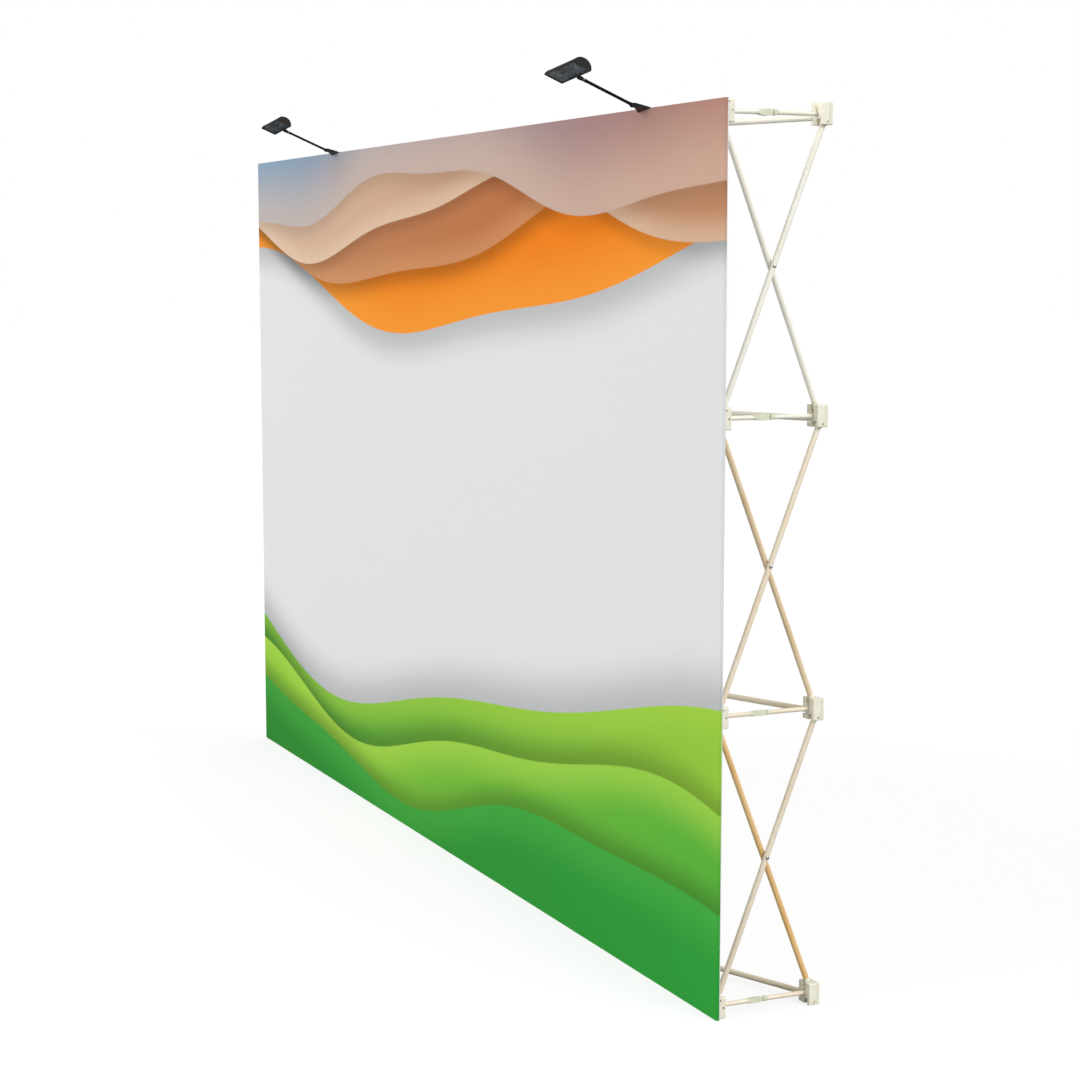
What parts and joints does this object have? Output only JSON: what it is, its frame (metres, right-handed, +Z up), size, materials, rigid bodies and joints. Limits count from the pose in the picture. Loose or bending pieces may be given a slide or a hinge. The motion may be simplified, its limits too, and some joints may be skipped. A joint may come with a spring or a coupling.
{
  "type": "pop-up display wall",
  "caption": "Straight pop-up display wall: printed fabric on a folding frame of crossing tubes and hubs with locking arms, lit by arm floodlights clipped on top.",
  "frame": {"origin": "middle of the footprint's bounding box, on the floor", "axes": "+X along the wall, the printed face looks towards -Y, +Z up"},
  "size_m": [3.8, 0.5569, 2.4077],
  "materials": {
    "frame_tube": "ivory powder coat, satin",
    "hub_plastic": "moulded, satin",
    "rivet_steel": "zinc plated",
    "panel_fabric": "dye-sublimation print on stretch polyester",
    "lamp_plastic": "black, satin",
    "lamp_steel": "black enamel, satin",
    "reflector_metal": "polished, dimpled",
    "lamp_glass": "clear"
  },
  "bodies": {
    "frame": {"floor_row_lattice": "frame_tube", "second_row_lattice": "frame_tube", "third_row_lattice": "frame_tube", "top_row_lattice": "frame_tube", "column_1_scissor_1": "frame_tube", "column_2_scissor_1": "frame_tube", "column_3_scissor_1": "frame_tube", "column_4_scissor_1": "frame_tube", "column_5_scissor_1": "frame_tube", "end_tube_1_leaning_back": "frame_tube", "end_tube_1_leaning_forward": "frame_tube", "end_rivet_1": "rivet_steel", "column_1_scissor_2": "frame_tube", "column_2_scissor_2": "frame_tube", "column_3_scissor_2": "frame_tube", "column_4_scissor_2": "frame_tube", "column_5_scissor_2": "frame_tube", "end_tube_2_leaning_back": "frame_tube", "end_tube_2_leaning_forward": "frame_tube", "end_rivet_2": "rivet_steel", "column_1_scissor_3": "frame_tube", "column_2_scissor_3": "frame_tube", "column_3_scissor_3": "frame_tube", "column_4_scissor_3": "frame_tube", "column_5_scissor_3": "frame_tube", "end_tube_3_leaning_back": "frame_tube", "end_tube_3_leaning_forward": "frame_tube", "end_rivet_3": "rivet_steel", "end_front_hub_1": "hub_plastic", "end_rear_hub_1": "hub_plastic", "end_front_hub_2": "hub_plastic", "end_rear_hub_2": "hub_plastic", "end_front_hub_3": "hub_plastic", "end_rear_hub_3": "hub_plastic", "end_front_hub_4": "hub_plastic", "end_rear_hub_4": "hub_plastic", "printed_panel": "panel_fabric", "lamp_1_foot": "lamp_plastic", "lamp_1_clip": "lamp_plastic", "lamp_2_foot": "lamp_plastic", "lamp_2_clip": "lamp_plastic"},
    "lock_fork_arm_1_body": {"lock_fork_arm_1": "hub_plastic"},
    "lock_tongue_arm_1_body": {"lock_tongue_arm_1": "hub_plastic"},
    "lock_fork_arm_2_body": {"lock_fork_arm_2": "hub_plastic"},
    "lock_tongue_arm_2_body": {"lock_tongue_arm_2": "hub_plastic"},
    "lock_fork_arm_3_body": {"lock_fork_arm_3": "hub_plastic"},
    "lock_tongue_arm_3_body": {"lock_tongue_arm_3": "hub_plastic"},
    "lock_fork_arm_4_body": {"lock_fork_arm_4": "hub_plastic"},
    "lock_tongue_arm_4_body": {"lock_tongue_arm_4": "hub_plastic"},
    "lamp_1_screw_body": {"lamp_1_clamp_screw": "lamp_plastic"},
    "lamp_1_arm_body": {"lamp_1_arm": "lamp_steel"},
    "lamp_1_head_body": {"lamp_1_hood": "lamp_plastic", "lamp_1_reflector": "reflector_metal", "lamp_1_glass": "lamp_glass"},
    "lamp_2_screw_body": {"lamp_2_clamp_screw": "lamp_plastic"},
    "lamp_2_arm_body": {"lamp_2_arm": "lamp_steel"},
    "lamp_2_head_body": {"lamp_2_hood": "lamp_plastic", "lamp_2_reflector": "reflector_metal", "lamp_2_glass": "lamp_glass"}
  },
  "joints": [
    {"name": "lock_fork_swing_1", "type": "hinge", "parent": "frame", "child": "lock_fork_arm_1_body", "pos_m": [1.8615, -0.00299, 0.028], "axis": [1, 0, 0], "range_deg": [0, 60]},
    {"name": "lock_tongue_swing_1", "type": "hinge", "parent": "frame", "child": "lock_tongue_arm_1_body", "pos_m": [1.8615, 0.25401, 0.028], "axis": [-1, 0, 0], "range_deg": [0, 60]},
    {"name": "lock_fork_swing_2", "type": "hinge", "parent": "frame", "child": "lock_fork_arm_2_body", "pos_m": [1.8615, -0.00299, 0.77267], "axis": [1, 0, 0], "range_deg": [0, 60]},
    {"name": "lock_tongue_swing_2", "type": "hinge", "parent": "frame", "child": "lock_tongue_arm_2_body", "pos_m": [1.8615, 0.25401, 0.77267], "axis": [-1, 0, 0], "range_deg": [0, 60]},
    {"name": "lock_fork_swing_3", "type": "hinge", "parent": "frame", "child": "lock_fork_arm_3_body", "pos_m": [1.8615, -0.00299, 1.51733], "axis": [1, 0, 0], "range_deg": [0, 60]},
    {"name": "lock_tongue_swing_3", "type": "hinge", "parent": "frame", "child": "lock_tongue_arm_3_body", "pos_m": [1.8615, 0.25401, 1.51733], "axis": [-1, 0, 0], "range_deg": [0, 60]},
    {"name": "lock_fork_swing_4", "type": "hinge", "parent": "frame", "child": "lock_fork_arm_4_body", "pos_m": [1.8615, -0.00299, 2.262], "axis": [1, 0, 0], "range_deg": [0, 60]},
    {"name": "lock_tongue_swing_4", "type": "hinge", "parent": "frame", "child": "lock_tongue_arm_4_body", "pos_m": [1.8615, 0.25401, 2.262], "axis": [-1, 0, 0], "range_deg": [0, 60]},
    {"name": "lamp_1_arm_tilt", "type": "hinge", "parent": "frame", "child": "lamp_1_arm_body", "pos_m": [1.4706, -0.06359, 2.299], "axis": [-1, 0, 0], "range_deg": [-20, 60]},
    {"name": "lamp_1_head_tilt", "type": "hinge", "parent": "lamp_1_arm_body", "child": "lamp_1_head_body", "pos_m": [1.4706, -0.21548, 2.36347], "axis": [0.9903, 0.0544, 0.1281], "range_deg": [-30, 70]},
    {"name": "lamp_1_clamp_turn", "type": "hinge", "parent": "frame", "child": "lamp_1_screw_body", "pos_m": [1.4706, 0.13275, 2.27], "axis": [0.3627, 0.9319, 0], "continuous": true},
    {"name": "lamp_2_arm_tilt", "type": "hinge", "parent": "frame", "child": "lamp_2_arm_body", "pos_m": [-0.9652, -0.06359, 2.299], "axis": [-1, 0, 0], "range_deg": [-20, 60]},
    {"name": "lamp_2_head_tilt", "type": "hinge", "parent": "lamp_2_arm_body", "child": "lamp_2_head_body", "pos_m": [-0.9652, -0.21548, 2.36347], "axis": [0.9903, 0.0544, 0.1281], "range_deg": [-30, 70]},
    {"name": "lamp_2_clamp_turn", "type": "hinge", "parent": "frame", "child": "lamp_2_screw_body", "pos_m": [-0.9652, 0.03965, 2.254], "axis": [-0.3627, 0.9319, 0], "continuous": true}
  ]
}
